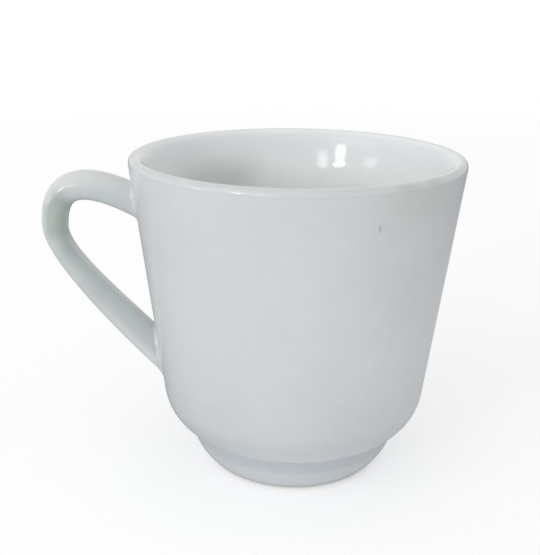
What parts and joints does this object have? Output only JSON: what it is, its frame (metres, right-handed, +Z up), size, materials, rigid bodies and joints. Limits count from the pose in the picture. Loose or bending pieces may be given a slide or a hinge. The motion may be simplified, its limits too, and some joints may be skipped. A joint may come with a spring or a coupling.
{
  "type": "porcelain mug",
  "caption": "White glazed porcelain mug with a flaring straight wall, rounded shoulder, narrow tapered foot and an ear-shaped loop handle, open at the top for hot drinks.",
  "frame": {"origin": "on the table, under the middle of the mug's overall length with its handle", "axes": "+Z up, handle along -X, mirror plane at y = 0"},
  "size_m": [0.1086, 0.085, 0.083],
  "materials": {
    "cup_glaze": "clear gloss glaze over white porcelain, bare on the standing ring",
    "handle_glaze": "clear gloss glaze over white porcelain",
    "slip_glaze": "clear gloss glaze over smoothed white slip"
  },
  "bodies": {
    "root": {"cup_body": "cup_glaze", "handle": "handle_glaze", "upper_slip_joint": "slip_glaze", "lower_slip_joint": "slip_glaze"}
  },
  "joints": []
}
